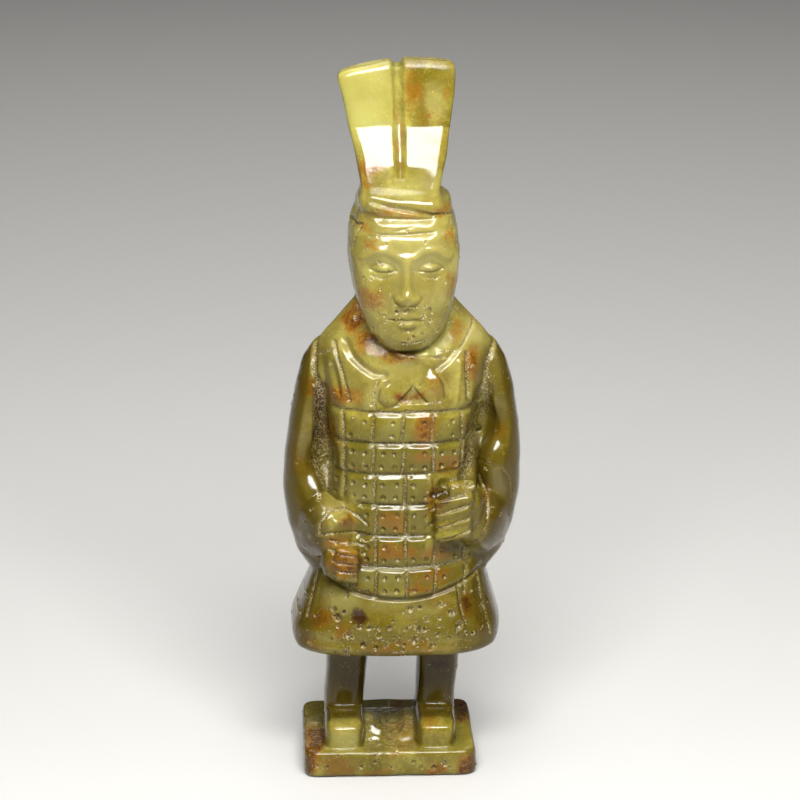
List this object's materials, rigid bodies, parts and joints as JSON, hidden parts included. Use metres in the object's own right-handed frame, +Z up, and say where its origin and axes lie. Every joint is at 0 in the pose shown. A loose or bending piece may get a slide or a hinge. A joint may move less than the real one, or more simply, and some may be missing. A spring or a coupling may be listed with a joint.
{
  "type": "jade warrior figurine",
  "caption": "Small carved jade figure of a standing warrior in plate armour over a flared robe, with a tall crest and a low base.",
  "frame": {"origin": "middle of the base's flat underside", "axes": "+Z up along the standing figure, -Y towards the figure's front, +X towards the right of someone who faces it"},
  "size_m": [0.043, 0.028, 0.1299],
  "materials": {
    "jade": "polished olive-yellow jade with russet and brown veins and gritty wheel-cut grooves"
  },
  "bodies": {
    "root": {"warrior_figurine": "jade"}
  },
  "joints": []
}
